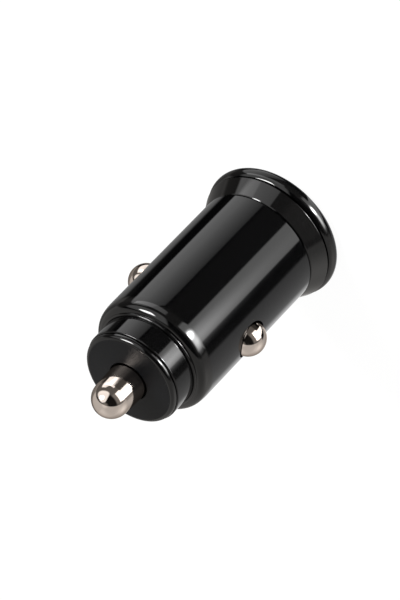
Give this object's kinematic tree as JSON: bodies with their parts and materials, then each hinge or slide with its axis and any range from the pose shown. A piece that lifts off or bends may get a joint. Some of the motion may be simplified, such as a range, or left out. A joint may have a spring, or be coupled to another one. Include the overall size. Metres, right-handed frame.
{
  "type": "car usb charger plug",
  "caption": "Cylindrical in-car USB charger plug with a sprung centre pin, sprung side contacts, a stepped nose, a flared head and USB sockets in its end face",
  "frame": {"origin": "centre of the flat end face of the head, which the part stands on", "axes": "+Z from the head to the tip of the centre pin; the side contacts slide along X"},
  "size_m": [0.0252, 0.024, 0.0499],
  "materials": {
    "black_coat": "deep gloss black over metal",
    "cap_plastic": "fine satin black moulding",
    "nickel": "bright nickel plate",
    "socket_steel": "folded plated sheet",
    "spring_steel": "drawn spring wire",
    "terminal_brass": "stamped brass",
    "blade_gold": "gold flashed copper alloy",
    "socket_plastic": "white moulding",
    "carrier_plastic": "dark grey moulding",
    "board_laminate": "green solder mask on laminate",
    "ferrite": "sintered dark grey",
    "winding_copper": "enamelled copper wire",
    "can_aluminium": "drawn can",
    "chip_black": "moulded package",
    "chip_ceramic": "fired ceramic",
    "led_body": "pale lens",
    "pipe_clear": "clear moulding"
  },
  "bodies": {
    "charger_body": {"barrel_shell": "black_coat", "head_collar": "black_coat", "rim_bezel": "black_coat", "nose_cap": "cap_plastic", "face_plate": "cap_plastic", "usb_shell_left": "socket_steel", "usb_shell_right": "socket_steel", "pin_spring": "spring_steel", "contact_spring_left": "spring_steel", "contact_spring_right": "spring_steel", "positive_terminal": "terminal_brass", "ground_terminal_left": "terminal_brass", "ground_terminal_right": "terminal_brass", "usb_contacts_left": "blade_gold", "usb_contacts_right": "blade_gold", "usb_insulator_left": "socket_plastic", "usb_insulator_right": "socket_plastic", "carrier_half_left": "carrier_plastic", "carrier_half_right": "carrier_plastic", "main_board": "board_laminate", "inductor_core": "ferrite", "inductor_winding": "winding_copper", "electrolytic_capacitor": "can_aluminium", "controller_chip": "chip_black", "rectifier_diode": "chip_black", "chip_capacitors": "chip_ceramic", "input_fuse": "chip_ceramic", "status_led": "led_body", "light_pipe": "pipe_clear"},
    "centre_pin": {"centre_pin": "nickel"},
    "side_contact_left": {"side_contact_left": "nickel"},
    "side_contact_right": {"side_contact_right": "nickel"}
  },
  "joints": [
    {"name": "centre_pin_slide", "type": "slide", "parent": "charger_body", "child": "centre_pin", "axis": [0, 0, -1], "range_m": [0, 0.003], "stiffness_N_per_m": 900, "springref_m": -0.003, "deforming": ["pin_spring"]},
    {"name": "side_contact_left_slide", "type": "slide", "parent": "charger_body", "child": "side_contact_left", "axis": [1, 0, 0], "range_m": [0, 0.002], "stiffness_N_per_m": 700, "springref_m": -0.0015, "deforming": ["contact_spring_left"]},
    {"name": "side_contact_right_slide", "type": "slide", "parent": "charger_body", "child": "side_contact_right", "axis": [-1, 0, 0], "range_m": [0, 0.002], "stiffness_N_per_m": 700, "springref_m": -0.0015, "deforming": ["contact_spring_right"]}
  ]
}
